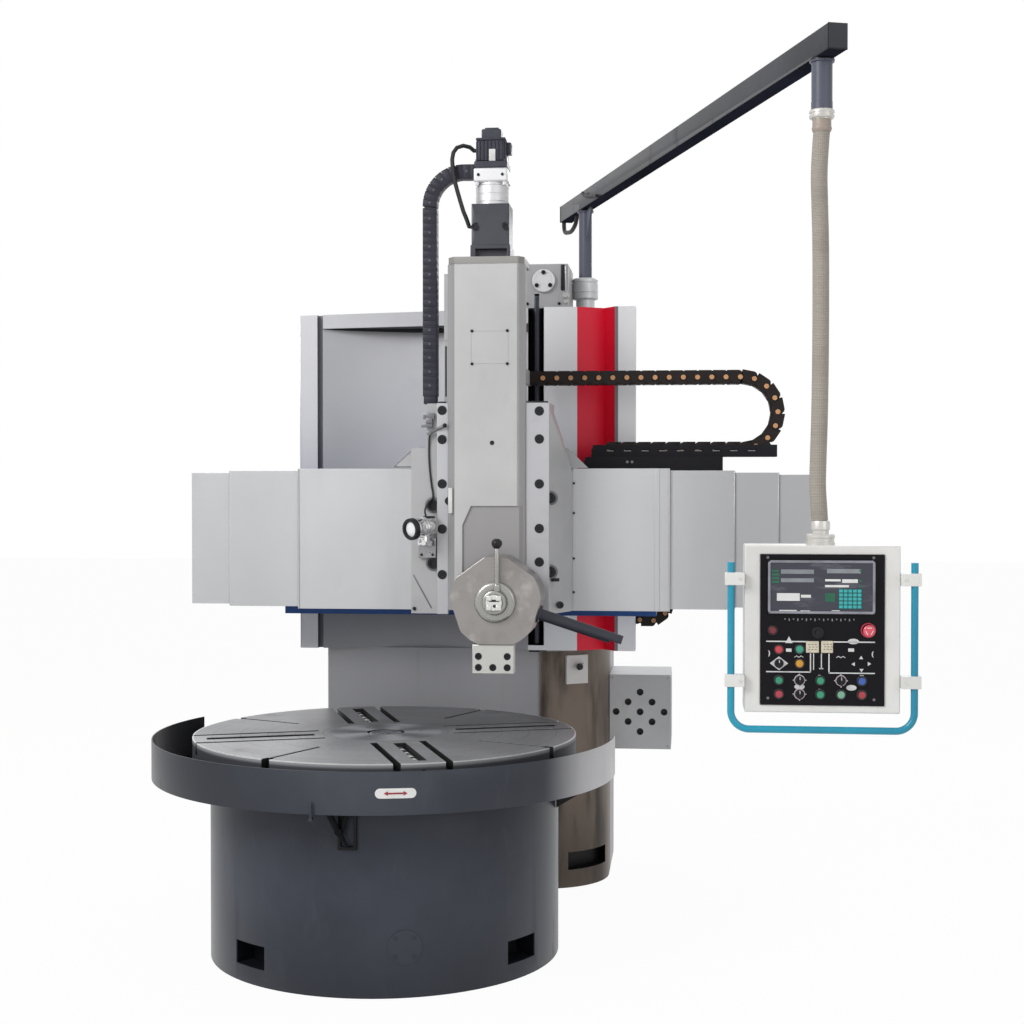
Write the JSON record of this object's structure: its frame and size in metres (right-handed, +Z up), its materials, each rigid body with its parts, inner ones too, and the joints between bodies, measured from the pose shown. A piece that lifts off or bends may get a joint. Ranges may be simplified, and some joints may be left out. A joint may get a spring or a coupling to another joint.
{
  "type": "vertical boring mill",
  "caption": "Single-column vertical turning and boring lathe with round table, crossrail with telescopic covers, ram head with turret, and control pendant on a swing boom.",
  "frame": {"origin": "on the floor, on the table's axis", "axes": "+X to the operator's right, +Y to the back of the machine, +Z up"},
  "size_m": [2.5838, 3.5535, 3.04],
  "materials": {
    "dark_paint": "semi-gloss",
    "turned_steel": "turned rings",
    "machined_steel": "machined",
    "motor_paint": "semi-gloss",
    "grey_paint": "satin",
    "cream_paint": "satin",
    "blue_paint": "satin",
    "black_paint": "satin",
    "brown_plastic": "oily",
    "satin_sheet": "satin",
    "grey_steel": "ground",
    "bright_aluminium": "machined",
    "black_plastic": "matt",
    "black_rubber": "matt",
    "brushed_turret": "brushed",
    "dark_steel": "blued",
    "lamp_chrome": "polished",
    "beige_hose": "braided",
    "panel_black": "satin",
    "teal_paint": "gloss",
    "green_plastic": "gloss",
    "red_plastic": "gloss",
    "blue_plastic": "gloss",
    "pale_green_plastic": "gloss",
    "grey_plastic": "satin"
  },
  "bodies": {
    "machine_frame": {"base": "dark_paint", "splash_guard": "dark_paint", "main_motor": "motor_paint", "column": "grey_paint", "electric_box": "grey_paint", "lock_plate": "cream_paint", "lift_gearbox": "grey_paint", "boom_collar": "machined_steel"},
    "table": {"table": "turned_steel", "spindle": "machined_steel", "ring_gear": "machined_steel"},
    "jaw_screw_1": {"jaw_screw_1": "machined_steel"},
    "jaw_screw_2": {"jaw_screw_2": "machined_steel"},
    "jaw_screw_3": {"jaw_screw_3": "machined_steel"},
    "jaw_screw_4": {"jaw_screw_4": "machined_steel"},
    "drive_pinion": {"drive_pinion": "machined_steel"},
    "lift_screw": {"lift_screw": "machined_steel"},
    "crossrail": {"crossrail": "blue_paint", "chain_tray": "black_paint", "chain_run": "brown_plastic", "end_covers": "satin_sheet", "lift_chain": "brown_plastic"},
    "feed_screw": {"feed_screw": "machined_steel"},
    "left_cover": {"left_cover": "satin_sheet"},
    "right_cover_1": {"right_cover_1": "satin_sheet"},
    "right_cover_2": {"right_cover_2": "satin_sheet"},
    "chain_bend": {"chain_bend": "brown_plastic"},
    "saddle": {"saddle": "grey_paint", "saddle_gibs": "machined_steel", "inner_covers": "satin_sheet", "lamp_mount": "lamp_chrome", "ram_carrier": "black_plastic"},
    "chain_top": {"chain_top": "brown_plastic"},
    "ram": {"ram": "grey_steel", "motor_bracket": "black_paint", "reducer": "bright_aluminium", "servo_motor": "black_paint", "ram_hose": "black_rubber"},
    "turret": {"turret": "brushed_turret", "boring_bar": "dark_steel", "tool_plate": "machined_steel"},
    "turret_lever": {"turret_lever": "machined_steel"},
    "lamp_head": {"lamp_head": "lamp_chrome"},
    "boom": {"boom": "dark_paint"},
    "pendant": {"pendant_hose": "beige_hose", "pendant_box": "cream_paint", "pendant_panel": "panel_black", "pendant_handle": "teal_paint"},
    "button_start": {"button_start": "green_plastic"},
    "button_stop": {"button_stop": "red_plastic"},
    "button_up": {"button_up": "green_plastic"},
    "button_down": {"button_down": "green_plastic"},
    "button_oil": {"button_oil": "blue_plastic"},
    "button_jog": {"button_jog": "pale_green_plastic"},
    "button_reset": {"button_reset": "red_plastic"},
    "emergency_stop": {"emergency_stop": "red_plastic"},
    "selector_mode": {"selector_mode": "grey_plastic"},
    "selector_feed": {"selector_feed": "grey_plastic"},
    "selector_speed": {"selector_speed": "grey_plastic"},
    "selector_axis": {"selector_axis": "grey_plastic"}
  },
  "joints": [
    {"name": "table_spin", "type": "hinge", "parent": "machine_frame", "child": "table", "pos_m": [0, 0, 0.7], "axis": [0, 0, 1], "continuous": true},
    {"name": "crossrail_lift", "type": "slide", "parent": "machine_frame", "child": "crossrail", "axis": [0, 0, 1], "range_m": [-0.15, 0.6], "deforming": ["lift_chain"]},
    {"name": "saddle_slide", "type": "slide", "parent": "crossrail", "child": "saddle", "axis": [1, 0, 0], "range_m": [-0.43, 0.25]},
    {"name": "ram_slide", "type": "slide", "parent": "saddle", "child": "ram", "axis": [0, 0, -1], "range_m": [-0.2, 0.22], "deforming": ["ram_carrier"]},
    {"name": "turret_index", "type": "hinge", "parent": "ram", "child": "turret", "pos_m": [0.42, -0.025, 1.28], "axis": [0, -1, 0], "continuous": true},
    {"name": "turret_lever_turn", "type": "hinge", "parent": "ram", "child": "turret_lever", "pos_m": [0.42, -0.14, 1.28], "axis": [0, -1, 0], "range_deg": [-40, 40]},
    {"name": "lamp_turn", "type": "hinge", "parent": "saddle", "child": "lamp_head", "pos_m": [0.144, 0.092, 1.52], "axis": [0, 0, 1], "range_deg": [-20, 20]},
    {"name": "boom_swivel", "type": "hinge", "parent": "machine_frame", "child": "boom", "pos_m": [0.666, 1.14, 2.5], "axis": [0, 0, 1], "range_deg": [-10, 90]},
    {"name": "pendant_swivel", "type": "hinge", "parent": "boom", "child": "pendant", "pos_m": [1.4698, -1.3295, 2.74], "axis": [0, 0, 1], "range_deg": [-90, 90]},
    {"name": "jaw_screw_1_turn", "type": "hinge", "parent": "table", "child": "jaw_screw_1", "pos_m": [0.37442, 0.14074, 0.758], "axis": [0.9361, 0.3518, 0], "continuous": true},
    {"name": "jaw_screw_2_turn", "type": "hinge", "parent": "table", "child": "jaw_screw_2", "pos_m": [-0.14074, 0.37442, 0.758], "axis": [-0.3518, 0.9361, 0], "continuous": true},
    {"name": "jaw_screw_3_turn", "type": "hinge", "parent": "table", "child": "jaw_screw_3", "pos_m": [-0.37442, -0.14074, 0.758], "axis": [-0.9361, -0.3518, 0], "continuous": true},
    {"name": "jaw_screw_4_turn", "type": "hinge", "parent": "table", "child": "jaw_screw_4", "pos_m": [0.14074, -0.37442, 0.758], "axis": [0.3518, -0.9361, 0], "continuous": true},
    {"name": "pinion_spin", "type": "hinge", "parent": "machine_frame", "child": "drive_pinion", "pos_m": [0, 0.602, 0.66], "axis": [0, 0, 1], "continuous": true},
    {"name": "lift_screw_turn", "type": "hinge", "parent": "machine_frame", "child": "lift_screw", "pos_m": [0.483, 0.86, 1.5], "axis": [0, 0, 1], "range_deg": [-2705, 10805]},
    {"name": "feed_screw_turn", "type": "hinge", "parent": "crossrail", "child": "feed_screw", "pos_m": [0.3, 0.5, 1.5075], "axis": [1, 0, 0], "range_deg": [-7745, 4505]},
    {"name": "left_cover_slide", "type": "slide", "parent": "crossrail", "child": "left_cover", "axis": [1, 0, 0], "range_m": [-0.155, 0.09]},
    {"name": "right_cover_1_slide", "type": "slide", "parent": "crossrail", "child": "right_cover_1", "axis": [1, 0, 0], "range_m": [-0.29, 0.17]},
    {"name": "right_cover_2_slide", "type": "slide", "parent": "crossrail", "child": "right_cover_2", "axis": [1, 0, 0], "range_m": [-0.145, 0.085]},
    {"name": "chain_roll", "type": "slide", "parent": "crossrail", "child": "chain_bend", "axis": [1, 0, 0], "range_m": [-0.216, 0.126], "deforming": ["chain_run"]},
    {"name": "chain_top_slide", "type": "slide", "parent": "chain_bend", "child": "chain_top", "axis": [1, 0, 0], "range_m": [-0.216, 0.126], "deforming": ["chain_top"]},
    {"name": "button_start_press", "type": "slide", "parent": "pendant", "child": "button_start", "axis": [0, 1, 0], "range_m": [0, 0.004], "stiffness_N_per_m": 900, "springref_m": -0.003},
    {"name": "button_stop_press", "type": "slide", "parent": "pendant", "child": "button_stop", "axis": [0, 1, 0], "range_m": [0, 0.004], "stiffness_N_per_m": 900, "springref_m": -0.003},
    {"name": "button_up_press", "type": "slide", "parent": "pendant", "child": "button_up", "axis": [0, 1, 0], "range_m": [0, 0.004], "stiffness_N_per_m": 900, "springref_m": -0.003},
    {"name": "button_down_press", "type": "slide", "parent": "pendant", "child": "button_down", "axis": [0, 1, 0], "range_m": [0, 0.004], "stiffness_N_per_m": 900, "springref_m": -0.003},
    {"name": "button_oil_press", "type": "slide", "parent": "pendant", "child": "button_oil", "axis": [0, 1, 0], "range_m": [0, 0.004], "stiffness_N_per_m": 900, "springref_m": -0.003},
    {"name": "button_jog_press", "type": "slide", "parent": "pendant", "child": "button_jog", "axis": [0, 1, 0], "range_m": [0, 0.004], "stiffness_N_per_m": 900, "springref_m": -0.003},
    {"name": "button_reset_press", "type": "slide", "parent": "pendant", "child": "button_reset", "axis": [0, 1, 0], "range_m": [0, 0.004], "stiffness_N_per_m": 900, "springref_m": -0.003},
    {"name": "emergency_stop_press", "type": "slide", "parent": "pendant", "child": "emergency_stop", "axis": [0, 1, 0], "range_m": [0, 0.008]},
    {"name": "selector_mode_turn", "type": "hinge", "parent": "pendant", "child": "selector_mode", "pos_m": [1.3528, -1.4, 1.212], "axis": [0, 1, 0], "range_deg": [-45, 45]},
    {"name": "selector_feed_turn", "type": "hinge", "parent": "pendant", "child": "selector_feed", "pos_m": [1.4088, -1.4, 1.166], "axis": [0, 1, 0], "range_deg": [-45, 45]},
    {"name": "selector_speed_turn", "type": "hinge", "parent": "pendant", "child": "selector_speed", "pos_m": [1.4088, -1.4, 1.128], "axis": [0, 1, 0], "range_deg": [-45, 45]},
    {"name": "selector_axis_turn", "type": "hinge", "parent": "pendant", "child": "selector_axis", "pos_m": [1.5208, -1.4, 1.166], "axis": [0, 1, 0], "range_deg": [-45, 45]}
  ],
  "couplings": [
    {"joint": "pinion_spin", "follows": "table_spin", "ratio": -6.5},
    {"joint": "lift_screw_turn", "follows": "crossrail_lift", "rad_per_m": 314.16},
    {"joint": "feed_screw_turn", "follows": "saddle_slide", "rad_per_m": 314.16},
    {"joint": "left_cover_slide", "follows": "saddle_slide", "ratio": 0.355},
    {"joint": "right_cover_1_slide", "follows": "saddle_slide", "ratio": 0.66667},
    {"joint": "right_cover_2_slide", "follows": "saddle_slide", "ratio": 0.33333},
    {"joint": "chain_roll", "follows": "saddle_slide", "ratio": 0.5},
    {"joint": "chain_top_slide", "follows": "saddle_slide", "ratio": 0.5}
  ]
}
